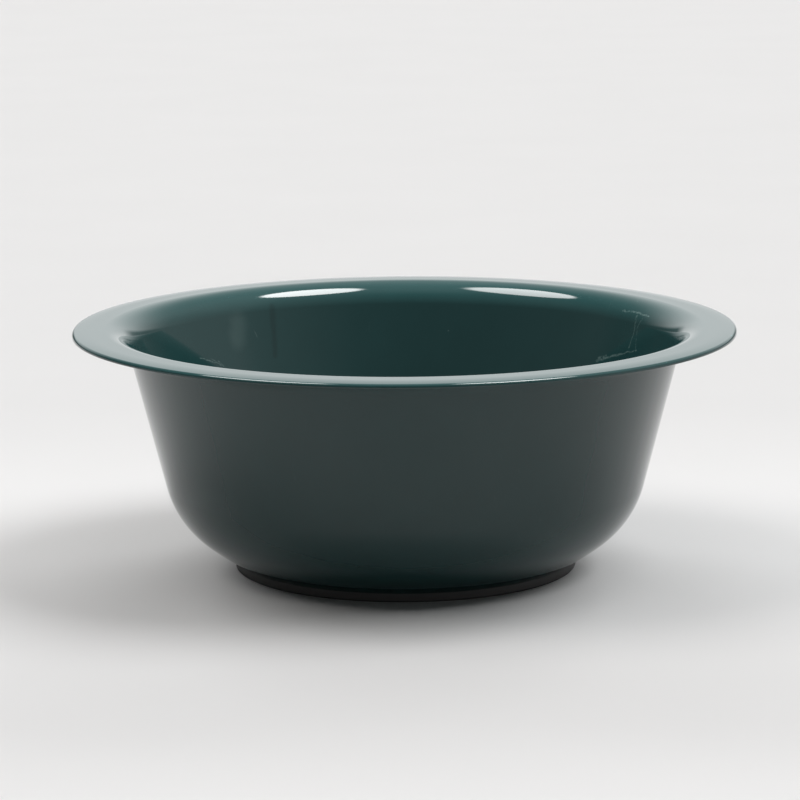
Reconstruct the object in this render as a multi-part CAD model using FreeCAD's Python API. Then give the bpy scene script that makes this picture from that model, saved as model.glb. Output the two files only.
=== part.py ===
import FreeCAD, Part
import math
import os

"""A round mixing tub: one plastic moulding standing on a rubber foot ring.

Millimetres and degrees, +Z up. The origin lies on the tub's axis, on the plane
that the foot ring stands on. Both pieces are turned about that axis, so each is
drawn once as half a section, in radius and height, and revolved.
"""

# ---------------------------------------------------------------- overall sizes
BRIM_DIAMETER = 360.0  # across the brim's outer edge
OVERALL_HEIGHT = 132.6  # from the floor to the level top of the brim

# ---------------------------------------------------------------- the moulding's skin
SKIN = 2.1  # one thickness through brim, wall and belly
WALL_DRAFT = 14.28  # how far the wall leans out from upright
BRIM_WIDTH = 28.0  # from the wall's line to the edge, along the brim's underside
BRIM_CORNER_RADIUS = 14.0  # in the corner under the brim
BRIM_FLAT = 6.6  # the level part of the brim, outside that corner
BRIM_ROLL_RADIUS = 70.0  # the brim's outer part rolls down on this radius
LIP_ROUND = 1.8  # on the upper edge of the brim's rim; the mould parts at the lower one, which is sharp
BELLY_RADIUS = 53.6  # the turn below the straight wall
HEEL_RADIUS = 154.0  # the flatter turn that runs on from the belly to the foot
HEEL_SLOPE = 29.1  # slope of the heel where it meets the foot, above level
FOOT_INSET = 26.0  # how far the foot stands in from the wall's line carried to the floor

# ---------------------------------------------------------------- the moulding's base
BASE_THICKNESS = 2.6
FLOOR_FILLET = 30.0  # sweeps the inside floor up into the heel
SPIGOT_THICKNESS = 2.0  # the short skirt that carries the foot ring
SPIGOT_LIFT = 1.0  # the spigot's rim stays this far off the floor
SPIGOT_DRAFT = 2.0  # its inner face opens towards the rim, to leave the mould
SPIGOT_CHAMFER = 0.4  # on both edges of its rim; the outer one leads the ring on
BEAD_RISE = 0.6  # the bead that keeps the ring on stands this proud of the spigot
BEAD_LEVEL = 2.6  # height of the bead's crest above the floor
BEAD_LEAD = 0.9  # length of the bead's ramp on the rim's side
BEAD_CATCH = 0.6  # length of its steeper ramp on the ring's side
GATE_WELL_DIAMETER = 14.0  # shallow well at the centre, for the gate's stub
GATE_WELL_DEPTH = 0.6
GATE_STUB_DIAMETER = 3.0
GATE_STUB_HEIGHT = 0.4

# ---------------------------------------------------------------- the foot ring
RING_HEIGHT = 4.6
RING_WIDTH = 8.5  # across its top, from the spigot to the heel's edge
RING_FLARE = 0.5  # the outer face spreads this much from top to floor
RING_CHAMFER = 0.8  # along both edges that meet the floor
RING_FIT = 0.15  # clearance around the spigot and its bead

# ---------------------------------------------------------------- what follows from them
DRAFT = math.radians(WALL_DRAFT)
BRIM_RADIUS = BRIM_DIAMETER / 2
BRIM_UNDERSIDE = OVERALL_HEIGHT - SKIN
WALL_RADIUS_AT_BRIM = BRIM_RADIUS - BRIM_WIDTH
WALL_RADIUS_AT_FLOOR = WALL_RADIUS_AT_BRIM - BRIM_UNDERSIDE * math.tan(DRAFT)
FOOT_RADIUS = WALL_RADIUS_AT_FLOOR - FOOT_INSET
SPIGOT_RADIUS = FOOT_RADIUS - RING_WIDTH


def at(radius, height):
    """Return the point of the half section at this radius and height."""
    return FreeCAD.Vector(radius, 0, height)


def heading(angle):
    """Return the unit vector at this angle in radians, from outward towards up."""
    return at(math.cos(angle), math.sin(angle))


class HalfSection:
    """A closed outline in radius and height, drawn edge by edge and then revolved."""

    def __init__(self, start):
        self.start = start
        self.end = start
        self.edges = []

    def line(self, point):
        """Run straight to a point."""
        self.edges.append(Part.LineSegment(self.end, point).toShape())
        self.end = point
        return self

    def lines(self, points):
        """Run straight through several points."""
        for point in points:
            self.line(point)
        return self

    def arc(self, centre, point):
        """Turn the short way about a centre to a point."""
        radius = (point - centre).Length
        halfway = (self.end - centre) + (point - centre)
        middle = centre + halfway.normalize() * radius
        self.edges.append(Part.Arc(self.end, middle, point).toShape())
        self.end = point
        return self

    def revolve(self):
        """Close the outline and turn it once about the axis into a solid."""
        self.line(self.start)
        face = Part.Face(Part.Wire(self.edges))
        return face.revolve(FreeCAD.Vector(0, 0, 0), FreeCAD.Vector(0, 0, 1), 360)


class Skin:
    """The tub's wall from the brim to the foot, at any depth under its outer face.

    The outer face is a chain of tangent pieces: the corner under the brim, the
    straight wall, the belly and the heel. Every radius of the inner face has the
    same centre, so the skin keeps one thickness all the way down.
    """

    def __init__(self):
        out = heading(-DRAFT)
        slope = math.radians(HEEL_SLOPE)
        corner_reach = BRIM_CORNER_RADIUS * math.tan(math.pi / 4 - DRAFT / 2)
        self.wall_out = out
        self.foot = at(FOOT_RADIUS, RING_HEIGHT)
        self.heel_out = heading(slope - math.pi / 2)
        self.corner_centre = at(WALL_RADIUS_AT_BRIM + corner_reach, BRIM_UNDERSIDE - BRIM_CORNER_RADIUS)
        self.heel_centre = self.foot - self.heel_out * HEEL_RADIUS
        self.belly_centre = self._belly_centre()
        self.belly_end = (self.belly_centre - self.heel_centre).normalize()

    def _belly_centre(self):
        """Return the centre that makes the belly tangent to both the wall and the heel.

        It lies one belly radius inside the wall's line, and the difference of the
        two radii away from the heel's centre.
        """
        along_wall = heading(math.pi / 2 - DRAFT)
        on_wall = at(WALL_RADIUS_AT_FLOOR, 0)
        inside = on_wall - self.wall_out * BELLY_RADIUS
        offset = inside - self.heel_centre
        half = offset.dot(along_wall)
        reach = HEEL_RADIUS - BELLY_RADIUS
        step = -half - math.sqrt(half ** 2 - offset.dot(offset) + reach ** 2)
        return inside + along_wall * step

    def brim_corner(self, depth):
        """Return where the corner meets the brim."""
        return self.corner_centre + at(0, BRIM_CORNER_RADIUS + depth)

    def wall_top(self, depth):
        """Return where the corner meets the straight wall."""
        return self.corner_centre - self.wall_out * (BRIM_CORNER_RADIUS + depth)

    def wall_foot(self, depth):
        """Return where the straight wall meets the belly."""
        return self.belly_centre + self.wall_out * (BELLY_RADIUS - depth)

    def belly_foot(self, depth):
        """Return where the belly meets the heel."""
        return self.belly_centre + self.belly_end * (BELLY_RADIUS - depth)

    def draw_up(self, section, depth):
        """Draw from a point on the heel up to the brim."""
        section.arc(self.heel_centre, self.belly_foot(depth))
        section.arc(self.belly_centre, self.wall_foot(depth))
        section.line(self.wall_top(depth))
        section.arc(self.corner_centre, self.brim_corner(depth))

    def draw_down(self, section):
        """Draw the outer face from the brim down to the foot's seat."""
        section.arc(self.corner_centre, self.wall_top(0))
        section.line(self.wall_foot(0))
        section.arc(self.belly_centre, self.belly_foot(0))
        section.arc(self.heel_centre, self.foot)


def draw_inside_floor(section, skin):
    """Draw the level floor and the sweep that lifts it into the heel's inner face."""
    level = RING_HEIGHT + BASE_THICKNESS
    reach = HEEL_RADIUS - SKIN - FLOOR_FILLET
    rise = skin.heel_centre.z - level - FLOOR_FILLET
    sweep_centre = at(skin.heel_centre.x + math.sqrt(reach ** 2 - rise ** 2), level + FLOOR_FILLET)
    touch = (sweep_centre - skin.heel_centre).normalize()
    section.line(at(sweep_centre.x, level))
    section.arc(sweep_centre, sweep_centre + touch * FLOOR_FILLET)


def draw_brim(section, skin):
    """Draw the level brim, the roll down to its rim, the rim and the way back under it.

    The round on the rim's upper edge is tangent to the roll and to the upright rim.
    """
    flat_end = skin.corner_centre.x + BRIM_FLAT
    under_radius = BRIM_ROLL_RADIUS
    top_radius = BRIM_ROLL_RADIUS + SKIN
    roll_centre = at(flat_end, BRIM_UNDERSIDE - under_radius)
    reach = BRIM_RADIUS - flat_end
    rim_foot = roll_centre + at(reach, math.sqrt(under_radius ** 2 - reach ** 2))
    round_reach = reach - LIP_ROUND
    round_centre = roll_centre + at(round_reach, math.sqrt((top_radius - LIP_ROUND) ** 2 - round_reach ** 2))
    round_out = (round_centre - roll_centre).normalize()
    section.line(roll_centre + at(0, top_radius))
    section.arc(roll_centre, roll_centre + round_out * top_radius)
    section.arc(round_centre, round_centre + at(LIP_ROUND, 0))
    section.line(rim_foot)
    section.arc(roll_centre, roll_centre + at(0, under_radius))
    section.line(skin.brim_corner(0))


def bead_face(radius, fit=0.0):
    """Return the face of the bead from the ring's side to the rim's, on a wall of this radius.

    The fit holds the face off the spigot's own bead, for the groove in the ring's bore.
    """
    crest = radius + BEAD_RISE
    upper = BEAD_LEVEL + BEAD_CATCH + fit
    lower = BEAD_LEVEL - BEAD_LEAD - fit
    return [at(radius, upper), at(crest, BEAD_LEVEL), at(radius, lower)]


def draw_spigot(section):
    """Draw the ring's seat and the skirt inside it, with the bead that keeps the ring on."""
    inner = SPIGOT_RADIUS - SPIGOT_THICKNESS
    lean = (RING_HEIGHT - SPIGOT_LIFT) * math.tan(math.radians(SPIGOT_DRAFT))
    section.line(at(SPIGOT_RADIUS, RING_HEIGHT))
    section.lines(bead_face(SPIGOT_RADIUS))
    section.line(at(SPIGOT_RADIUS, SPIGOT_LIFT + SPIGOT_CHAMFER))
    section.line(at(SPIGOT_RADIUS - SPIGOT_CHAMFER, SPIGOT_LIFT))
    section.line(at(inner + SPIGOT_CHAMFER, SPIGOT_LIFT))
    section.line(at(inner, SPIGOT_LIFT + SPIGOT_CHAMFER))
    section.line(at(inner - lean, RING_HEIGHT))


def draw_base_underside(section):
    """Draw the level underside, and the gate's well and stub at its centre."""
    well = GATE_WELL_DIAMETER / 2
    stub = GATE_STUB_DIAMETER / 2
    well_top = RING_HEIGHT + GATE_WELL_DEPTH
    section.line(at(well, RING_HEIGHT))
    section.line(at(well, well_top))
    section.line(at(stub, well_top))
    section.line(at(stub, well_top - GATE_STUB_HEIGHT))
    section.line(at(0, well_top - GATE_STUB_HEIGHT))


def make_tub_shell():
    """Make the moulding: floor, heel, belly, wall, brim, and the spigot under the base."""
    skin = Skin()
    section = HalfSection(at(0, RING_HEIGHT + BASE_THICKNESS))
    draw_inside_floor(section, skin)
    skin.draw_up(section, SKIN)
    draw_brim(section, skin)
    skin.draw_down(section)
    draw_spigot(section)
    draw_base_underside(section)
    return section.revolve()


def make_foot_ring():
    """Make the rubber ring: level on top, flared outside, grooved in its bore for the bead."""
    bore = SPIGOT_RADIUS + RING_FIT
    foot = FOOT_RADIUS + RING_FLARE
    section = HalfSection(at(bore, RING_HEIGHT))
    section.line(at(FOOT_RADIUS, RING_HEIGHT))
    section.line(at(foot, RING_CHAMFER))
    section.line(at(foot - RING_CHAMFER, 0))
    section.line(at(bore + RING_CHAMFER, 0))
    section.line(at(bore, RING_CHAMFER))
    section.lines(reversed(bead_face(bore, RING_FIT)))
    return section.revolve()


NODES = {
    "tub_shell": make_tub_shell,
    "foot_ring": make_foot_ring,
}


def main():
    """Build every piece and write one STEP file for each."""
    os.makedirs("parts", exist_ok=True)
    for name, make in NODES.items():
        shape = make()
        shape.exportStep("parts/" + name + ".step")
        box = shape.optimalBoundingBox()
        across = round(box.XLength, 3)
        top = round(box.ZMax, 3)
        print(name, "valid", shape.isValid(), "volume", round(shape.Volume), "across", across, "top", top)


if __name__ == "__main__":
    main()
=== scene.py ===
import logging
import math
from abc import ABC, abstractmethod
from dataclasses import dataclass, field
from enum import Enum

import bpy
import numpy as np
from mathutils import Matrix, Vector


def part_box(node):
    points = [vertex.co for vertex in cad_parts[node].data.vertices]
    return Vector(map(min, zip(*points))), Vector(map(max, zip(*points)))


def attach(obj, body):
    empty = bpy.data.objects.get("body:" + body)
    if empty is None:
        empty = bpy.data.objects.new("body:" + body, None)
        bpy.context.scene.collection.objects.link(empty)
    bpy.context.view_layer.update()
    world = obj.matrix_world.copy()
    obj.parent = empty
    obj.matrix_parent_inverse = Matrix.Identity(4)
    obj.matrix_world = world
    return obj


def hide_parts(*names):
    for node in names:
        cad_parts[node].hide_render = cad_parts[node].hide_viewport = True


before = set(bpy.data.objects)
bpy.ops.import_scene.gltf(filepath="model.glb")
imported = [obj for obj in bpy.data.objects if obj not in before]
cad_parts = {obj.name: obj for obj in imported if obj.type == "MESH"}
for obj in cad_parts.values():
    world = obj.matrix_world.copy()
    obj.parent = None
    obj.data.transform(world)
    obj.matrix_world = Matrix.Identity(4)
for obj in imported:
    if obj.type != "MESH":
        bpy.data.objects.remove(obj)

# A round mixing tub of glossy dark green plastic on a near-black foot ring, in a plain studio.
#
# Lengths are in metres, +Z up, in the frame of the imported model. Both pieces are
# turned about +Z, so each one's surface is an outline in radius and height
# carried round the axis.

MM = 0.001
TURN = 2.0 * math.pi
BODY = "root"
# Points nearer to each other than this are one point.
SAME_POINT = 1e-7
# Millimetres round the inside of the wall for each degree of turn.
WALL_PER_DEGREE = 2.53
# Clearance of the foot ring round the spigot that it is stretched over.
RING_FIT = 0.15 * MM
# A colour ramp holds levels up to 1, so brighter ones are stored divided by this.
RAMP_SCALE = 2.0

log = logging.getLogger("mixing_tub")

Point = tuple[float, float]
Array = np.ndarray
Tone = tuple[float, float, float]
Colour = tuple[float, float, float, float]


# ---------------------------------------------------------------- outlines and surfaces
class Facing(Enum):
    """Which way the surface along an arc faces, seen from the arc's centre."""

    AWAY = 1
    TOWARDS = -1


class Outline:
    """A run of points in radius and height, each with the direction its surface faces."""

    def __init__(self) -> None:
        """Start an empty outline."""
        self.points: list[Array] = []
        self.normals: list[Array] = []

    def arc(
        self, centre: Array, radius: float, start: float, end: float, steps: int, facing: Facing = Facing.AWAY
    ) -> "Outline":
        """Add an arc: centre plus radius times the unit vector of each angle.

        Args:
            centre: The arc's centre in radius and height.
            radius: The arc's radius.
            start: First angle in radians, from outward towards up.
            end: Last angle in radians.
            steps: Number of points along the arc, its ends included.
            facing: Whether the surface faces away from the centre or towards it.

        Returns:
            This outline.
        """
        angle = np.linspace(start, end, steps)
        ray = np.stack([np.cos(angle), np.sin(angle)], axis=1)
        self.points.append(centre + radius * ray)
        self.normals.append(facing.value * ray)
        return self

    def straight(self, start: Point, end: Point, steps: int = 2) -> "Outline":
        """Add a straight run with evenly spaced points, facing to the left of its direction.

        Args:
            start: First point.
            end: Last point.
            steps: Number of points along it, its ends included.

        Returns:
            This outline.
        """
        first, last = np.array(start, float), np.array(end, float)
        share = np.linspace(0.0, 1.0, steps)[:, None]
        along = (last - first) / np.linalg.norm(last - first)
        self.points.append(first + (last - first) * share)
        self.normals.append(np.tile([-along[1], along[0]], (steps, 1)))
        return self

    def corners(self, points: list[Point], radius: float, steps: int = 6) -> "Outline":
        """Add straight runs through several points, with each inner corner rounded.

        The rounding at a corner is the arc of the given radius tangent to both
        runs; its centre lies on the corner's bisector.

        Args:
            points: Corner points; the first and the last are only ends.
            radius: Radius of every rounding.
            steps: Number of points in each rounding.

        Returns:
            This outline.
        """
        path = np.array(points, float)
        begin = path[0]
        for index in range(1, len(path) - 1):
            corner = path[index]
            into = (corner - path[index - 1]) / np.linalg.norm(corner - path[index - 1])
            out = (path[index + 1] - corner) / np.linalg.norm(path[index + 1] - corner)
            cross = into[0] * out[1] - into[1] * out[0]
            turn = math.atan2(cross, float(into @ out))
            side = 1.0 if turn > 0 else -1.0
            reach = radius * math.tan(abs(turn) / 2)
            first = corner - into * reach
            left = np.array([-into[1], into[0]])
            centre = first + left * side * radius
            start = math.atan2(*(first - centre)[::-1])
            self.straight(tuple(begin), tuple(first))
            facing = Facing.TOWARDS if side > 0 else Facing.AWAY
            self.arc(centre, radius, start, start + turn, steps, facing)
            begin = corner + out * reach
        return self.straight(tuple(begin), tuple(path[-1]))

    def joined(self) -> tuple[Array, Array]:
        """Return all points and normals as two arrays, with repeated points left out."""
        points, normals = np.concatenate(self.points), np.concatenate(self.normals)
        keep = np.ones(len(points), bool)
        keep[1:] = np.linalg.norm(np.diff(points, axis=0), axis=1) > SAME_POINT
        return points[keep], normals[keep]


def carried(rows: Array, turns: int) -> Array:
    """Carry rows of (r, z) round the axis: (r cos a, r sin a, z) for each evenly spaced angle a.

    Args:
        rows: Pairs of radius and height.
        turns: Number of steps round the axis.

    Returns:
        One point for each row and step, row after row.
    """
    angle = np.arange(turns) * TURN / turns
    radius, height = rows[:, :1], np.repeat(rows[:, 1:], turns, axis=1)
    return np.stack([radius * np.cos(angle), radius * np.sin(angle), height], axis=2).reshape(-1, 3)


def revolve(name: str, outline: Outline, turns: int, loop: bool) -> bpy.types.Object:
    """Carry an outline round the axis.

    A point at radius r and height z becomes (r cos a, r sin a, z) for each of
    the evenly spaced angles a. An outline that starts and ends on the axis gets
    one vertex at each pole; a closed loop joins its last point to its first.

    Args:
        name: The new object's name.
        outline: Points and normals in radius and height.
        turns: Number of steps round the axis.
        loop: Whether the outline is a closed loop off the axis.

    Returns:
        The new mesh object, smooth, with the outline's own normals.
    """
    points, normals = outline.joined()
    poles = not loop
    ring, ring_normal = (points[1:-1], normals[1:-1]) if poles else (points, normals)
    if loop and np.linalg.norm(ring[0] - ring[-1]) < SAME_POINT:
        ring, ring_normal = ring[:-1], ring_normal[:-1]
    vertices, vertex_normals = carried(ring, turns), carried(ring_normal, turns)
    index = np.arange(len(vertices)).reshape(len(ring), turns)
    here, there = (index, np.roll(index, -1, axis=0)) if loop else (index[:-1], index[1:])
    quads = np.stack([here, np.roll(here, -1, axis=1), np.roll(there, -1, axis=1), there], axis=-1).reshape(-1, 4)
    fans = np.empty((0, 3), int)
    if poles:
        ends = np.array([[0.0, 0.0, points[0, 1]], [0.0, 0.0, points[-1, 1]]])
        faces_up = np.array([[0.0, 0.0, normals[0, 1]], [0.0, 0.0, normals[-1, 1]]])
        first, last = len(vertices), len(vertices) + 1
        vertices = np.concatenate([vertices, ends])
        vertex_normals = np.concatenate([vertex_normals, faces_up])
        start, stop = index[0], index[-1]
        fans = np.concatenate(
            [
                np.stack([np.full(turns, first), np.roll(start, -1), start], axis=1),
                np.stack([np.full(turns, last), stop, np.roll(stop, -1)], axis=1),
            ]
        )
    mesh = bpy.data.meshes.new(name)
    mesh.from_pydata(vertices.tolist(), [], quads.tolist() + fans.tolist())
    if signed_volume(vertices, quads, fans) < 0:
        mesh.flip_normals()
    mesh.shade_smooth()
    mesh.normals_split_custom_set_from_vertices(vertex_normals.tolist())
    piece = bpy.data.objects.new(name, mesh)
    bpy.context.scene.collection.objects.link(piece)
    return piece


def signed_volume(vertices: Array, quads: Array, fans: Array) -> float:
    """Return the volume that the faces enclose: a sixth of the sum of each triangle's triple product.

    Args:
        vertices: All the points.
        quads: Four-sided faces as numbers of points.
        fans: Triangles as numbers of points.

    Returns:
        The volume, negative where the faces point inwards.
    """
    triangles = np.concatenate([quads[:, [0, 1, 2]], quads[:, [0, 2, 3]], fans])
    a, b, c = (vertices[triangles[:, k]] for k in range(3))
    return float(np.einsum("ij,ij->i", a, np.cross(b, c)).sum() / 6.0)


# ---------------------------------------------------------------- shader trees
class Value:
    """One output socket; arithmetic on it adds Math nodes to its tree."""

    def __init__(self, tree: "Tree", socket: bpy.types.NodeSocket) -> None:
        """Hold a socket and the tree it belongs to."""
        self.tree = tree
        self.socket = socket

    def _math(self, operation: str, *values: "Value | float") -> "Value":
        """Add one Math node on these values and return its result."""
        return self.tree.add("ShaderNodeMath", {"operation": operation}, dict(enumerate(values)))

    def __add__(self, other: "Value | float") -> "Value":
        """Return this plus other."""
        return self._math("ADD", self, other)

    def __radd__(self, other: float) -> "Value":
        """Return other plus this."""
        return self._math("ADD", other, self)

    def __sub__(self, other: "Value | float") -> "Value":
        """Return this minus other."""
        return self._math("SUBTRACT", self, other)

    def __rsub__(self, other: float) -> "Value":
        """Return other minus this."""
        return self._math("SUBTRACT", other, self)

    def __mul__(self, other: "Value | float") -> "Value":
        """Return this times other."""
        return self._math("MULTIPLY", self, other)

    def __rmul__(self, other: float) -> "Value":
        """Return other times this."""
        return self._math("MULTIPLY", other, self)

    def __truediv__(self, other: "Value | float") -> "Value":
        """Return this over other."""
        return self._math("DIVIDE", self, other)

    def __rtruediv__(self, other: float) -> "Value":
        """Return other over this."""
        return self._math("DIVIDE", other, self)

    def __pow__(self, other: "Value | float") -> "Value":
        """Return this to the power of other."""
        return self._math("POWER", self, other)

    def larger(self, other: "Value | float") -> "Value":
        """Return the larger of this and other."""
        return self._math("MAXIMUM", self, other)

    def smaller(self, other: "Value | float") -> "Value":
        """Return the smaller of this and other."""
        return self._math("MINIMUM", self, other)

    def angle_from(self, other: "Value") -> "Value":
        """Return the angle whose tangent is this over other, round the full turn."""
        return self._math("ARCTAN2", self, other)

    def step(self, low: float, high: float) -> "Value":
        """Return a smooth rise of this from 0 to 1.

        Args:
            low: Where the rise starts; it may be the larger of the two.
            high: Where it ends.

        Returns:
            The risen share.
        """
        settings = {"interpolation_type": "SMOOTHSTEP"}
        inputs = {"Value": self, "From Min": low, "From Max": high, "To Min": 0.0, "To Max": 1.0}
        return self.tree.add("ShaderNodeMapRange", settings, inputs)


class Tree:
    """A node tree that is written as expressions."""

    def __init__(self, tree: bpy.types.NodeTree) -> None:
        """Empty the tree and hold it."""
        tree.nodes.clear()
        self.tree = tree

    def node(self, kind: str, settings: dict, inputs: dict) -> bpy.types.Node:
        """Add a node.

        Args:
            kind: The node's type name.
            settings: Its own settings, set first; "stops" is a ramp's list of (place, colour).
            inputs: Values or Values' sockets by input name or number.

        Returns:
            The new node.
        """
        made = self.tree.nodes.new(kind)
        for key, value in settings.items():
            if key == "stops":
                self._stops(made.color_ramp, value)
            else:
                setattr(made, key, value)
        for key, value in inputs.items():
            socket = made.inputs[key]
            if isinstance(value, Value):
                self.tree.links.new(value.socket, socket)
            else:
                socket.default_value = value
        return made

    @staticmethod
    def _stops(ramp: bpy.types.ColorRamp, stops: list[tuple[float, Colour]]) -> None:
        """Fill a colour ramp.

        Args:
            ramp: The new node's ramp.
            stops: Each stop's place and colour.
        """
        while len(ramp.elements) < len(stops):
            ramp.elements.new(1.0)
        for element, (place, colour) in zip(ramp.elements, stops):
            element.position = place
            element.color = colour

    def add(
        self, kind: str, settings: dict | None = None, inputs: dict | None = None, output: str | int = 0
    ) -> Value:
        """Add a node and return one of its outputs."""
        made = self.node(kind, settings or {}, inputs or {})
        return Value(self, made.outputs[output])

    def noise(self, where: Value, scale: float, detail: float = 2.0, roughness: float = 0.5) -> Value:
        """Return smooth noise between about 0 and 1 at this many features per metre."""
        inputs = {"Vector": where, "Scale": scale, "Detail": detail, "Roughness": roughness}
        return self.add("ShaderNodeTexNoise", {}, inputs, "Fac")

    def stretched(self, where: Value, scale: tuple[float, float, float], turn: float = 0.0) -> Value:
        """Return coordinates scaled along each axis after a turn about +Z."""
        turned = self.add("ShaderNodeMapping", {}, {"Vector": where, "Rotation": (0.0, 0.0, turn)})
        return self.add("ShaderNodeMapping", {}, {"Vector": turned, "Scale": scale})

    def mix(self, share: Value, first: Value | Colour, second: Value | Colour) -> Value:
        """Return first where share is 0 and second where it is 1."""
        return self.add("ShaderNodeMix", {"data_type": "RGBA"}, {0: share, 6: first, 7: second}, 2)

    def parts(self, vector: Value) -> tuple[Value, Value, Value]:
        """Return a vector's three components."""
        made = self.node("ShaderNodeSeparateXYZ", {}, {0: vector})
        return tuple(Value(self, made.outputs[k]) for k in range(3))


# ---------------------------------------------------------------- finishes
def toned(tone: Tone, share: float = 1.0) -> Colour:
    """Return this share of a tone as a full colour."""
    return (*(share * part for part in tone), 1.0)


class Finish(ABC):
    """A material of the object or of the studio."""

    name: str

    def make(self) -> bpy.types.Material:
        """Build the material and return it."""
        material = bpy.data.materials.new(self.name)
        material.use_nodes = True
        tree = Tree(material.node_tree)
        where = tree.add("ShaderNodeTexCoord", output="Object")
        shader = self.shader(tree, where)
        tree.node("ShaderNodeOutputMaterial", {}, {"Surface": shader})
        return material

    @abstractmethod
    def shader(self, tree: Tree, where: Value) -> Value:
        """Build the surface's shader.

        Args:
            tree: The material's tree.
            where: Object coordinates.

        Returns:
            The shader.
        """


@dataclass(frozen=True)
class ScuffAndReflectionMark:
    """A rubbed or filmed line on the inside of the wall, or a dark line of painted reflection.

    Its two ends are given by the angle round the axis in degrees and the height
    in millimetres. The core is the share of its width that has its full strength.
    """

    start: tuple[float, float]
    end: tuple[float, float]
    width: float = 0.5
    strength: float = 1.0
    core: float = 0.15

    def mark(self, turned: Value, height: Value) -> Value:
        """Find the line's strength, full along its middle and 0 from its width away.

        Args:
            turned: Distance round the unrolled wall in millimetres.
            height: Height in millimetres.

        Returns:
            The line's strength at that place.
        """
        start = self.start[0] * WALL_PER_DEGREE, self.start[1]
        run = (self.end[0] - self.start[0]) * WALL_PER_DEGREE, self.end[1] - self.start[1]
        over, up = turned - start[0], height - start[1]
        along = ((over * run[0] + up * run[1]) / (run[0] ** 2 + run[1] ** 2)).larger(0.0).smaller(1.0)
        over, up = over - along * run[0], up - along * run[1]
        return ((over * over + up * up) ** 0.5).step(self.width, self.core * self.width) * self.strength


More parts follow.
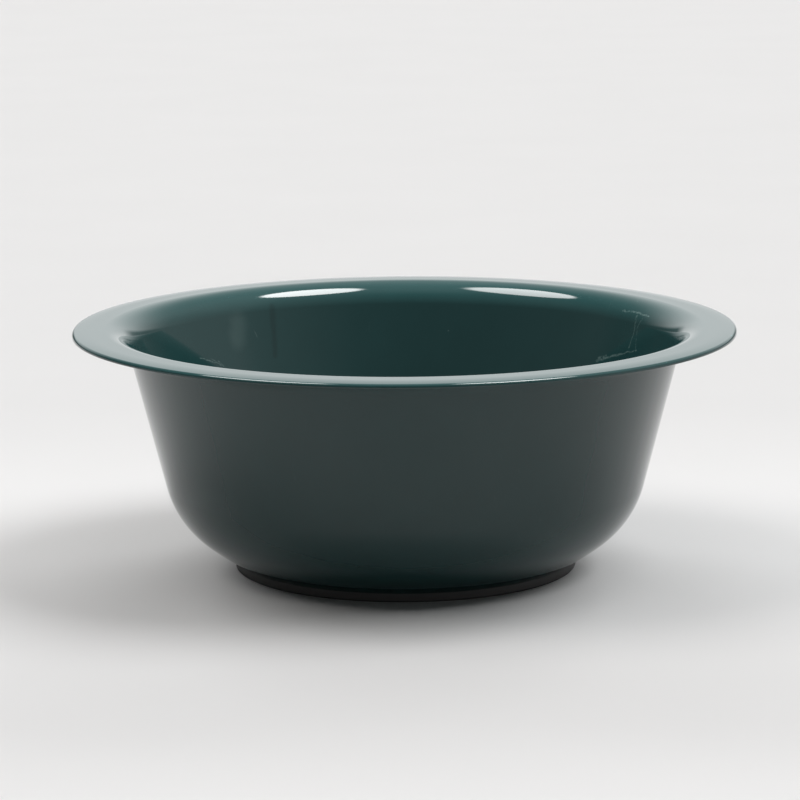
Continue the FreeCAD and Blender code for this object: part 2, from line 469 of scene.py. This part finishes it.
@dataclass(frozen=True)
class GlossPlastic(Finish):
    """Moulded plastic with a mirror gloss, faint flow, a little handling wear and a dark streak of painted
    reflection inside.

    Scales are features per metre. A mark strays from its line by up to half the
    given millimetres, round the wall or up it.
    """

    name: str = "gloss_green_plastic"
    colour: Tone = (0.0085, 0.0304, 0.0304)
    rubbed: Tone = (0.075, 0.115, 0.11)
    # Painted reflection: the share of the plastic's colour left along the dark streak.
    painted_reflection_share: float = 0.4
    roughness: float = 0.045
    ior: float = 1.5
    flow_scale: float = 14.0
    cloud_scale: float = 55.0
    ripple_scale: float = 45.0
    ripple_height: float = 0.012 * MM
    stray_round: tuple[float, float] = (160.0, 2.6)
    stray_up: tuple[float, float] = (260.0, 2.2)
    break_scale: float = 700.0
    dust_scale: float = 75.0
    dust_strength: float = 0.5
    hair_scales: tuple[float, float, float] = (420.0, 16.0, 60.0)
    hair_turn: float = 0.6
    hair_strength: float = 0.035
    scuffs: tuple[ScuffAndReflectionMark, ...] = (
        ScuffAndReflectionMark((34.1, 125.8), (30.5, 126.4), 0.6, 0.45),
        ScuffAndReflectionMark((30.5, 126.4), (23.9, 126.1), 0.6, 0.75),
        ScuffAndReflectionMark((28.4, 124.6), (27.9, 117.0), 1.1, 0.35),
        ScuffAndReflectionMark((27.9, 117.0), (28.5, 106.0), 0.9, 0.40),
        ScuffAndReflectionMark((25.9, 124.0), (26.9, 119.0), 0.8, 0.35),
        ScuffAndReflectionMark((26.9, 119.0), (25.8, 107.5), 0.8, 0.30),
        ScuffAndReflectionMark((25.2, 107.0), (31.0, 102.7), 0.6, 0.70),
        ScuffAndReflectionMark((31.0, 102.9), (39.4, 95.9), 0.9, 0.85),
        ScuffAndReflectionMark((36.4, 99.6), (38.6, 97.6), 1.2, 0.70),
        ScuffAndReflectionMark((144.4, 100.7), (139.6, 95.8), 0.5, 0.80),
        ScuffAndReflectionMark((140.8, 98.6), (138.0, 94.2), 0.5, 0.70),
        ScuffAndReflectionMark((138.6, 96.8), (137.2, 93.4), 0.5, 0.70),
        ScuffAndReflectionMark((126.6, 110.5), (126.2, 106.5), 0.4, 0.50),
    )
    film: ScuffAndReflectionMark = ScuffAndReflectionMark((130.6, 115.5), (131.6, 107.0), 9.0, 0.17)
    # Painted reflection: a dark streak down the inside of the wall, standing in for the reflection of a darker
    # part of the studio.
    painted_dark_reflection: ScuffAndReflectionMark = ScuffAndReflectionMark((121.0, 123.0), (121.9, 95.0), 2.8, 0.40)

    def worn(self, tree: Tree, where: Value) -> tuple[Value, Value, Value]:
        """Find how the inside of the wall is worn, and where its dark streak of painted reflection runs.

        Args:
            tree: The material's tree.
            where: Object coordinates.

        Returns:
            The strength of the wavy, broken scuffs, of the pale film and of the dark streak of painted
            reflection.
        """
        x, y, z = tree.parts(where)
        scale_round, reach_round = self.stray_round
        scale_up, reach_up = self.stray_up
        wobble, waver = tree.noise(where, scale_round), tree.noise(where, scale_up)
        turned = y.angle_from(x) * math.degrees(WALL_PER_DEGREE) + reach_round * (wobble - 0.5)
        height = z / MM + reach_up * (waver - 0.5)
        lines = self.scuffs[0].mark(turned, height)
        for scuff in self.scuffs[1:]:
            lines = lines.larger(scuff.mark(turned, height))
        across, back, _ = tree.parts(tree.add("ShaderNodeNewGeometry", output="Normal"))
        inside = (across * x + back * y).step(-0.01, -0.03)
        lines = lines * tree.noise(where, self.break_scale).step(0.30, 0.62)
        return lines * inside, self.film.mark(turned, height) * inside, self.painted_dark_reflection.mark(turned, height) * inside

    def specks(self, tree: Tree, where: Value) -> Value:
        """Find the dust: one small speck in some of the cells of a coarse pattern.

        Args:
            tree: The material's tree.
            where: Object coordinates.

        Returns:
            1 on a speck and 0 elsewhere.
        """
        cells = tree.node("ShaderNodeTexVoronoi", {}, {"Vector": where, "Scale": self.dust_scale})
        chosen = tree.parts(Value(tree, cells.outputs["Color"]))[0].step(0.90, 0.92)
        return chosen * Value(tree, cells.outputs["Distance"]).step(0.045, 0.02)

    def shader(self, tree: Tree, where: Value) -> Value:
        """Build the shader: flow shifts the colour a little, painted reflection darkens a streak, wear the gloss,
        and both the surface.

        Args:
            tree: The material's tree.
            where: Object coordinates.

        Returns:
            The shader.
        """
        flow = tree.noise(where, self.flow_scale, 3.0)
        cloud = tree.noise(where, self.cloud_scale)
        worn, film, painted_dark_reflection = self.worn(tree, where)
        hairs = tree.noise(tree.stretched(where, self.hair_scales, self.hair_turn), 1.0, 3.0).step(0.66, 0.74)
        dust = self.dust_strength * self.specks(tree, where)
        pale = worn.larger(film).larger(dust).larger(self.hair_strength * hairs)
        plain = tree.mix(0.6 * flow + 0.4 * cloud, toned(self.colour, 0.90), toned(self.colour, 1.12))
        # Painted reflection: darken the streak where a darker part of the studio would be seen in the gloss.
        plain = tree.mix(painted_dark_reflection, plain, toned(self.colour, self.painted_reflection_share))
        waves = tree.noise(where, self.ripple_scale, 1.0)
        ripple = {"Strength": 1.0, "Distance": self.ripple_height, "Height": waves}
        inputs = {
            "Base Color": tree.mix(pale, plain, toned(self.rubbed)),
            "Roughness": self.roughness + 0.02 * cloud.step(0.45, 0.75) + 0.16 * worn + 0.02 * hairs,
            "IOR": self.ior,
            "Normal": tree.add("ShaderNodeBump", {}, ripple),
        }
        return tree.add("ShaderNodeBsdfPrincipled", {}, inputs)


@dataclass(frozen=True)
class NearBlackFootFinish(Finish):
    """A near-black finish with a fine grain; scales are features per metre."""

    name: str = "near_black_foot"
    colour: Tone = (0.010, 0.010, 0.0098)
    roughness: float = 0.52
    grain_scale: float = 900.0
    grain_height: float = 0.05 * MM
    cloud_scale: float = 40.0

    def shader(self, tree: Tree, where: Value) -> Value:
        """Build the shader: grain lifts the colour and roughens the surface, and cloud dulls the sheen.

        Args:
            tree: The material's tree.
            where: Object coordinates.

        Returns:
            The shader.
        """
        grain = tree.noise(where, self.grain_scale, 3.0)
        cloud = tree.noise(where, self.cloud_scale)
        bump = {"Strength": 0.5, "Distance": self.grain_height, "Height": grain}
        inputs = {
            "Base Color": tree.mix(0.5 * grain + 0.5 * cloud, toned(self.colour, 0.85), toned(self.colour, 1.5)),
            "Roughness": self.roughness + 0.15 * (cloud - 0.5),
            "Normal": tree.add("ShaderNodeBump", {}, bump),
        }
        return tree.add("ShaderNodeBsdfPrincipled", {}, inputs)


@dataclass(frozen=True)
class FloorPaper(Finish):
    """Matt background paper, with painted shade that darkens it a little behind the tub.

    Its tone falls to a set share of its colour between two distances behind the
    tub's axis: painted shade, standing in for the light that falls off further back.
    """

    name: str = "pale_paper"
    colour: Tone = (0.80, 0.80, 0.80)
    roughness: float = 0.9
    cloud_scale: float = 6.0
    # Painted shade: the share of the paper's tone that is left behind the tub.
    painted_shade_tone: float = 0.905
    falls: tuple[float, float] = (0.10, 0.50)

    def shader(self, tree: Tree, where: Value) -> Value:
        """Build the shader: a faint cloud in the paper's tone, and painted shade that darkens it behind the tub.

        Args:
            tree: The material's tree.
            where: Object coordinates.

        Returns:
            The shader.
        """
        cloud = tree.noise(where, self.cloud_scale)
        here, behind = (
            tree.mix(cloud, toned(self.colour, 0.985 * tone), toned(self.colour, 1.015 * tone))
            for tone in (1.0, self.painted_shade_tone)
        )
        # Painted shade: the paper darkens between these distances behind the tub, as if less light reached it.
        colour = tree.mix(tree.parts(where)[1].step(*self.falls), here, behind)
        inputs = {"Base Color": colour, "Roughness": self.roughness, "Specular IOR Level": 0.0}
        return tree.add("ShaderNodeBsdfPrincipled", {}, inputs)


# ---------------------------------------------------------------- the tub's moulding
@dataclass
class TubShell:
    """The one-piece moulding: floor, heel, belly, wall, brim, and the spigot under its base."""

    radius: float
    height: float
    foot_height: float
    foot_inset: float = 26.0 * MM
    skin: float = 2.1 * MM
    draft: float = math.radians(14.28)
    brim_width: float = 28.0 * MM
    brim_corner: float = 14.0 * MM
    brim_flat: float = 6.6 * MM
    brim_roll: float = 70.0 * MM
    lip_round: float = 1.8 * MM
    parting_edge: float = 0.12 * MM
    belly: float = 53.6 * MM
    heel: float = 154.0 * MM
    heel_slope: float = math.radians(29.1)
    base: float = 2.6 * MM
    floor_fillet: float = 30.0 * MM
    spigot_inset: float = 8.5 * MM
    spigot_thickness: float = 2.0 * MM
    spigot_lift: float = 1.0 * MM
    spigot_draft: float = math.radians(2.0)
    bead_rise: float = 0.6 * MM
    bead_level: float = 2.6 * MM
    bead_lead: float = 0.9 * MM
    bead_catch: float = 0.6 * MM
    well_radius: float = 7.0 * MM
    well_depth: float = 0.6 * MM
    stub_radius: float = 1.5 * MM
    stub_height: float = 0.4 * MM
    edge: float = 0.15 * MM
    turns: int = 480
    finish: Finish = field(default_factory=GlossPlastic)

    @property
    def foot_radius(self) -> float:
        """Return the wall's radius where its line meets the floor, less the foot's inset."""
        wall = self.radius - self.brim_width - (self.height - self.skin) * math.tan(self.draft)
        return wall - self.foot_inset

    def build(self) -> bpy.types.Object:
        """Build the shell's mesh and return its object."""
        outline = Outline()
        self._inside(outline)
        self._brim(outline)
        self._outside(outline)
        self._underside(outline)
        return revolve("tub_shell_skin", outline, self.turns, loop=False)

    def dress(self, piece: bpy.types.Object) -> None:
        """Give the shell its plastic."""
        piece.data.materials.append(self.finish.make())

    def _centres(self) -> tuple[Array, Array, Array]:
        """Find the centres of the chain of tangent arcs.

        The belly's centre lies one belly radius inside the wall's line and the
        difference of the two radii from the heel's centre.

        Returns:
            The centres of the brim's corner, the belly and the heel.
        """
        under = self.height - self.skin
        wall_out = np.array([math.cos(self.draft), -math.sin(self.draft)])
        at_brim = self.radius - self.brim_width
        reach = self.brim_corner * math.tan(math.pi / 4 - self.draft / 2)
        corner = np.array([at_brim + reach, under - self.brim_corner])
        slope = self.heel_slope - math.pi / 2
        down = np.array([math.cos(slope), math.sin(slope)])
        heel = np.array([self.foot_radius, self.foot_height]) - self.heel * down
        on_wall = np.array([at_brim - under * math.tan(self.draft), 0.0])
        inside = on_wall - wall_out * self.belly
        along = np.array([math.sin(self.draft), math.cos(self.draft)])
        offset = inside - heel
        half = float(offset @ along)
        gap = self.heel - self.belly
        belly = inside + along * (-half - math.sqrt(half**2 - float(offset @ offset) + gap**2))
        return corner, belly, heel

    def _angles(self) -> tuple[float, float]:
        """Return the direction of the wall's outside and of the joint of belly and heel."""
        _, belly, heel = self._centres()
        joint = belly - heel
        return -self.draft, math.atan2(joint[1], joint[0])

    def _inside(self, outline: Outline) -> None:
        """Add the inside: level floor, sweep, heel, belly, wall and corner, up to the brim.

        Args:
            outline: The outline that it is added to.
        """
        corner, belly, heel = self._centres()
        wall, joint = self._angles()
        level = self.foot_height + self.base
        reach = self.heel - self.skin - self.floor_fillet
        rise = heel[1] - level - self.floor_fillet
        sweep = np.array([heel[0] + math.sqrt(reach**2 - rise**2), level + self.floor_fillet])
        touch = math.atan2(*(sweep - heel)[::-1])
        outline.straight((0.0, level), (sweep[0], level), steps=6)
        outline.arc(sweep, self.floor_fillet, -math.pi / 2, touch, steps=8, facing=Facing.TOWARDS)
        outline.arc(heel, self.heel - self.skin, touch, joint, steps=5, facing=Facing.TOWARDS)
        outline.arc(belly, self.belly - self.skin, joint, wall, steps=16, facing=Facing.TOWARDS)
        outline.arc(corner, self.brim_corner + self.skin, math.pi + wall, math.pi / 2, steps=26)

    def _brim(self, outline: Outline) -> None:
        """Add the brim: level band, roll, round on the rim's upper edge, rim and the way back under it.

        Args:
            outline: The outline that it is added to.
        """
        corner, _, _ = self._centres()
        flat_end = corner[0] + self.brim_flat
        roll = np.array([flat_end, self.height - self.skin - self.brim_roll])
        top = self.brim_roll + self.skin
        inset = self.radius - self.lip_round - flat_end
        lip = roll + np.array([inset, math.sqrt((top - self.lip_round) ** 2 - inset**2)])
        turn = math.atan2(*(lip - roll)[::-1])
        burr = self.parting_edge
        reach = self.radius - burr - flat_end
        edge = roll + np.array([reach, math.sqrt((self.brim_roll + burr) ** 2 - reach**2)])
        under = math.atan2(*(edge - roll)[::-1])
        outline.arc(roll, top, math.pi / 2, turn, steps=7)
        outline.arc(lip, self.lip_round, turn, 0.0, steps=13)
        outline.straight((self.radius, lip[1]), (self.radius, edge[1]))
        outline.arc(edge, burr, 0.0, under - math.pi, steps=6)
        outline.arc(roll, self.brim_roll, under, math.pi / 2, steps=7, facing=Facing.TOWARDS)

    def _outside(self, outline: Outline) -> None:
        """Add the outside: corner under the brim, wall, belly and heel, down to the foot.

        Args:
            outline: The outline that it is added to.
        """
        corner, belly, heel = self._centres()
        wall, joint = self._angles()
        foot = self.heel_slope - math.pi / 2
        outline.arc(corner, self.brim_corner, math.pi / 2, math.pi + wall, steps=20, facing=Facing.TOWARDS)
        outline.arc(belly, self.belly, wall, joint, steps=16)
        outline.arc(heel, self.heel, joint, foot, steps=5)

    def _underside(self, outline: Outline) -> None:
        """Add the ring's seat, the spigot with its bead, the base's underside and the gate's well.

        Args:
            outline: The outline that they are added to.
        """
        seat = self.foot_height
        spigot = self.foot_radius - self.spigot_inset
        inner = spigot - self.spigot_thickness
        root = inner - (seat - self.spigot_lift) * math.tan(self.spigot_draft)
        top = seat + self.well_depth
        path = [
            (self.foot_radius, seat),
            (spigot, seat),
            (spigot, self.bead_level + self.bead_catch),
            (spigot + self.bead_rise, self.bead_level),
            (spigot, self.bead_level - self.bead_lead),
            (spigot, self.spigot_lift),
            (inner, self.spigot_lift),
            (root, seat),
            (self.well_radius, seat),
            (self.well_radius, top),
            (self.stub_radius, top),
            (self.stub_radius, top - self.stub_height),
            (0.0, top - self.stub_height),
        ]
        outline.corners(path, self.edge, steps=4)


# ---------------------------------------------------------------- the foot ring
@dataclass
class FootRing:
    """The rubber ring that is stretched over the spigot and meets the floor."""

    top_radius: float
    bore: float
    height: float
    flare: float = 0.5 * MM
    floor_edge: float = 0.8 * MM
    edge: float = 0.05 * MM
    groove_rise: float = 0.6 * MM
    groove_level: float = 2.6 * MM
    groove_up: float = 0.75 * MM
    groove_down: float = 1.05 * MM
    turns: int = 480
    finish: Finish = field(default_factory=NearBlackFootFinish)

    def build(self) -> bpy.types.Object:
        """Build the ring's mesh, level on top and rounded along the floor, and return its object."""
        foot = self.top_radius + self.flare
        middle = (self.bore + foot) / 2
        level = self.groove_level
        below_groove = (self.bore, level - self.groove_down)
        half_way = (self.top_radius + self.flare * 0.5, self.height * 0.5)
        round_the_top = [
            below_groove,
            (self.bore + self.groove_rise, level),
            (self.bore, level + self.groove_up),
            (self.bore, self.height),
            (self.top_radius, self.height),
            half_way,
        ]
        outline = Outline()
        outline.corners([(middle, 0.0), (self.bore, 0.0), below_groove], self.floor_edge)
        outline.corners(round_the_top, self.edge, steps=3)
        outline.corners([half_way, (foot, 0.0), (middle, 0.0)], self.floor_edge)
        return revolve("foot_ring_rubber", outline, self.turns, loop=True)

    def dress(self, piece: bpy.types.Object) -> None:
        """Give the ring its near-black finish."""
        piece.data.materials.append(self.finish.make())


# ---------------------------------------------------------------- the studio
@dataclass(frozen=True)
class Softbox:
    """A round panel of light overhead, a little longer one way.

    Its place and its half sizes are measured on a plane one unit above the tub;
    lean is how much stronger its right edge is than its middle, as a share. Its
    gloss is its brightness in reflections, and on_tub that of the lamps which
    light the tub's matt part in its place.
    """

    name: str
    across: float
    back: float
    half_across: float
    half_deep: float
    gloss: float
    on_tub: float
    lean: float = 0.0
    soft: float = 0.10

    def glow(self, x: Value, y: Value) -> Value:
        """Find the panel's strength at a point of the plane above the tub.

        The distance from its middle is counted in half sizes; the strength falls
        to 0 across a narrow band around 1.

        Args:
            x: The point's place across.
            y: Its place towards the back.

        Returns:
            The strength there.
        """
        right = (x - self.across) / self.half_across
        deep = (y - self.back) / self.half_deep
        reach = (right * right + deep * deep) ** 0.5
        inside = reach.step(1.0 + self.soft, 1.0 - self.soft)
        return inside * (1.0 + self.lean * right) * self.gloss

    def lamp(self, receiver: bpy.types.Object, strength: float, height: float) -> None:
        """Hang a lamp of the panel's shape and place that lights one object's matt part.

        Args:
            receiver: The only object that the lamp lights.
            strength: Its brightness; its power is pi times that, times its area.
            height: How far above the floor it hangs; its size and place grow with it.
        """
        lamp = bpy.data.lights.new(f"{self.name}_on_{receiver.name}", "AREA")
        lamp.shape = "ELLIPSE"
        lamp.size = 2 * self.half_across * height
        lamp.size_y = 2 * self.half_deep * height
        lamp.energy = math.pi * strength * lamp.size * lamp.size_y
        holder = bpy.data.objects.new(lamp.name, lamp)
        holder.matrix_world = Matrix.Translation((self.across * height, self.back * height, height))
        bpy.context.scene.collection.objects.link(holder)
        light_only(holder, receiver)


@dataclass(frozen=True)
class Bank:
    """A distant bank of lamps to one side.

    Its bearing runs round from straight behind the tub (0) by the right, and its
    height is above the horizon; both are in degrees. Its strength is given apart
    for the floor and for the tub.
    """

    name: str
    bearing: float
    height: float
    on_floor: float
    on_tub: float = 0.0
    spread: float = 38.0
    tint: tuple[float, float, float] = (1.0, 1.0, 1.0)

    def lamp(self, receiver: bpy.types.Object, strength: float) -> None:
        """Hang the bank so that it lights one object.

        Args:
            receiver: The only object that it lights.
            strength: Its strength on a surface that faces it.
        """
        lamp = bpy.data.lights.new(f"{self.name}_on_{receiver.name}", "SUN")
        lamp.energy = strength
        lamp.color = self.tint
        lamp.angle = math.radians(self.spread)
        holder = bpy.data.objects.new(lamp.name, lamp)
        bearing, height = math.radians(self.bearing), math.radians(self.height)
        level = math.cos(height)
        towards = Vector((level * math.sin(bearing), level * math.cos(bearing), math.sin(height)))
        holder.matrix_world = towards.to_track_quat("Z", "Y").to_matrix().to_4x4()
        bpy.context.scene.collection.objects.link(holder)
        light_only(holder, receiver)


def light_only(lamp: bpy.types.Object, receiver: bpy.types.Object) -> None:
    """Let a lamp light one object and nothing else.

    Args:
        lamp: The lamp's object.
        receiver: The object that it lights.
    """
    lamp.visible_camera = False
    lamp.visible_glossy = False
    only = bpy.data.collections.new(f"lit_by_{lamp.name}")
    only.objects.link(receiver)
    lamp.light_linking.receiver_collection = only


@dataclass
class Studio:
    """Camera, surrounding light and floor."""

    sensor: float = 36.0
    lens: float = 165.03
    distance: float = 2.0
    sight_end: float = 50.0
    pitch: float = math.radians(10.54)
    roll: float = math.radians(0.39)
    aim: tuple[float, float, float] = (-0.0026, 0.0, 0.0908)
    floor_radius: float = 9.0
    floor_sides: int = 96
    softboxes: tuple[Softbox, ...] = (
        Softbox("right_panel", 0.38, 0.05, 0.232, 0.262, gloss=17.0, on_tub=36.0, lean=0.03),
        Softbox("left_panel", -0.465, 0.19, 0.27, 0.30, gloss=11.0, on_tub=22.0, lean=0.10),
    )
    # Brightness all round, from the camera's side (0), by the left (0.25), the
    # back (0.5) and the right (0.75), to the camera's side again: close above the
    # floor, at about 15 degrees and at about 40 degrees.
    low: tuple[tuple[float, float], ...] = (
        (0.0, 0.13), (0.15, 0.15), (0.30, 0.10), (0.42, 0.08), (0.453, 0.12), (0.466, 0.60), (0.475, 1.00),
        (0.525, 1.02), (0.538, 0.62), (0.55, 0.28), (0.565, 0.20), (0.60, 0.19), (0.645, 0.34), (0.686, 0.44),
        (0.75, 0.54), (0.80, 0.50), (0.88, 0.30), (0.95, 0.15), (1.0, 0.13),
    )
    middle: tuple[tuple[float, float], ...] = (
        (0.0, 0.13), (0.10, 0.14), (0.27, 0.19), (0.31, 0.12), (0.355, 0.13), (0.375, 0.35), (0.40, 0.62),
        (0.42, 0.84), (0.45, 1.02), (0.48, 1.10), (0.52, 1.10), (0.56, 1.04), (0.60, 0.80), (0.63, 0.58),
        (0.655, 0.47), (0.70, 0.51), (0.77, 0.58), (0.80, 0.42), (0.88, 0.28), (0.94, 0.16), (1.0, 0.13),
    )
    high: tuple[tuple[float, float], ...] = (
        (0.0, 0.14), (0.10, 0.16), (0.18, 0.22), (0.23, 0.24), (0.31, 0.15), (0.36, 0.18), (0.40, 0.24),
        (0.44, 0.43), (0.475, 0.62), (0.525, 0.62), (0.56, 0.49), (0.60, 0.48), (0.65, 0.60), (0.72, 0.66),
        (0.77, 0.62), (0.81, 0.46), (0.88, 0.34), (0.94, 0.20), (1.0, 0.14),
    )
    # The heights in degrees between which one of these passes into the next.
    to_middle: tuple[float, float] = (7.0, 11.5)
    to_high: tuple[float, float] = (19.0, 40.0)
    # Brightness straight up, which fades out between these distances from the
    # axis on the plane above the tub. It and the panels set in between these
    # upward shares of the direction.
    overhead: float = 0.52
    overhead_spread: tuple[float, float] = (0.68, 0.05)
    overhead_rise: tuple[float, float] = (0.3, 0.5)
    panel_rise: tuple[float, float] = (0.1, 0.2)
    # The share of this light that the matt parts of things take.
    matt_share: float = 0.15
    # How far above the floor the lamps that light the tub hang.
    near: float = 3.0
    banks: tuple[Bank, ...] = (
        Bank("back_bank", 0, 15, on_floor=0.68),
        Bank("back_right_bank", 30, 15, on_floor=1.96),
        Bank("back_left_bank", 330, 15, on_floor=1.78),
        Bank("front_bank", 180, 15, on_floor=0.07, on_tub=0.52),
        Bank("right_bank", 90, 55, on_floor=1.44),
        Bank("left_bank", 270, 55, on_floor=0.82, tint=(1.0, 0.96, 0.935)),
        Bank("high_right_bank", 120, 75, on_floor=0.17),
        Bank("high_left_bank", 225, 75, on_floor=0.23),
    )

    def build_camera(self) -> None:
        """Set the camera on its line of sight to the aim point, tipped a little to one side."""
        data = bpy.data.cameras.new("camera")
        data.lens = self.lens
        data.sensor_width = self.sensor
        data.clip_end = self.sight_end
        camera = bpy.data.objects.new("camera", data)
        sight = Vector((0.0, math.cos(self.pitch), -math.sin(self.pitch)))
        turn = Matrix.Rotation(math.pi / 2 - self.pitch, 4, "X") @ Matrix.Rotation(-self.roll, 4, "Z")
        camera.matrix_world = Matrix.Translation(Vector(self.aim) - sight * self.distance) @ turn
        bpy.context.scene.collection.objects.link(camera)
        bpy.context.scene.camera = camera

    def hang_lamps(self, tub: list[bpy.types.Object], floor: bpy.types.Object) -> None:
        """Hang each panel's lamps, one for each piece of the tub, and the banks.

        Args:
            tub: The tub's pieces.
            floor: The floor.
        """
        for piece in tub:
            for softbox in self.softboxes:
                softbox.lamp(piece, softbox.on_tub, self.near)
            for bank in self.banks:
                if bank.on_tub:
                    bank.lamp(piece, bank.on_tub)
        for bank in self.banks:
            bank.lamp(floor, bank.on_floor)

    def build_light(self) -> None:
        """Light the scene from all round: a pale back, a dim front and two panels overhead."""
        world = bpy.data.worlds.new("studio")
        world.use_nodes = True
        bpy.context.scene.world = world
        tree = Tree(world.node_tree)
        x, y, z = tree.parts(tree.add("ShaderNodeTexCoord", output="Generated"))
        round_about = x.angle_from(y) / TURN + 0.5
        glow = self._ring(tree, round_about, self.low)
        for ring, (start, end) in ((self.middle, self.to_middle), (self.high, self.to_high)):
            share = z.step(math.sin(math.radians(start)), math.sin(math.radians(end)))
            glow = glow + (self._ring(tree, round_about, ring) - glow) * share
        up = z.larger(0.05)
        across, back = x / up, y / up
        above = ((across * across + back * back) ** 0.5).step(*self.overhead_spread)
        glow = glow + (self.overhead - glow) * above * z.step(*self.overhead_rise)
        paths = tree.node("ShaderNodeLightPath", {}, {})
        in_gloss = Value(tree, paths.outputs["Is Glossy Ray"])
        in_sight = Value(tree, paths.outputs["Is Camera Ray"])
        glow = glow * (self.matt_share + (1.0 - self.matt_share) * in_gloss.larger(in_sight))
        for softbox in self.softboxes:
            glow = glow + softbox.glow(across, back) * z.step(*self.panel_rise) * in_gloss
        background = tree.add("ShaderNodeBackground", {}, {"Color": (1.0, 1.0, 1.0, 1.0), "Strength": glow})
        tree.node("ShaderNodeOutputWorld", {}, {"Surface": background})

    @staticmethod
    def _ring(tree: Tree, place: Value, stops: tuple[tuple[float, float], ...]) -> Value:
        """Find the brightness at a place round the horizon.

        Args:
            tree: The world's tree.
            place: How far round, as a share of the full turn.
            stops: Places round with their brightness, in order.

        Returns:
            The brightness, in a straight line from each stop to the next.
        """
        ramp = [(where, toned((level, level, level), 1.0 / RAMP_SCALE)) for where, level in stops]
        grey = tree.add("ShaderNodeValToRGB", {"stops": ramp}, {0: place})
        return tree.parts(grey)[0] * RAMP_SCALE

    def build_floor(self) -> bpy.types.Object:
        """Lay a wide round sheet of paper under the tub, level with the foot's underside."""
        angle = np.arange(self.floor_sides) * TURN / self.floor_sides
        rim = self.floor_radius * np.stack([np.cos(angle), np.sin(angle), 0 * angle], axis=1)
        mesh = bpy.data.meshes.new("floor")
        mesh.from_pydata(rim.tolist(), [], [list(range(self.floor_sides))])
        mesh.materials.append(FloorPaper().make())
        floor = bpy.data.objects.new("floor", mesh)
        bpy.context.scene.collection.objects.link(floor)
        return floor


def plain(corners: tuple[Vector, Vector]) -> list[list[float]]:
    """Return a box's two corners as plain lists of numbers."""
    return [[round(float(value), 6) for value in corner] for corner in corners]


def main() -> None:
    """Build each piece, seat it on its body, and set up the studio."""
    logging.basicConfig(level=logging.INFO, format="%(name)s: %(message)s")
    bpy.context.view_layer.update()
    _, shell_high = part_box("tub_shell")
    _, ring_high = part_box("foot_ring")
    shell = TubShell(radius=shell_high.x, height=shell_high.z, foot_height=ring_high.z)
    bore = shell.foot_radius - shell.spigot_inset + RING_FIT
    ring = FootRing(top_radius=shell.foot_radius, bore=bore, height=ring_high.z)
    pieces = []
    for part, node, slot in ((shell, "tub_shell", "tub_plastic"), (ring, "foot_ring", "foot_rubber")):
        piece = part.build()
        part.dress(piece)
        pieces.append(piece)
        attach(piece, BODY)
        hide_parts(node)
        log.info("%s stands for %s with %d faces", piece.name, node, len(piece.data.polygons))
    studio = Studio()
    floor = studio.build_floor()
    studio.build_light()
    studio.hang_lamps(pieces, floor)
    studio.build_camera()
    bpy.context.scene.view_settings.view_transform = "Standard"


if __name__ == "__main__":
    main()
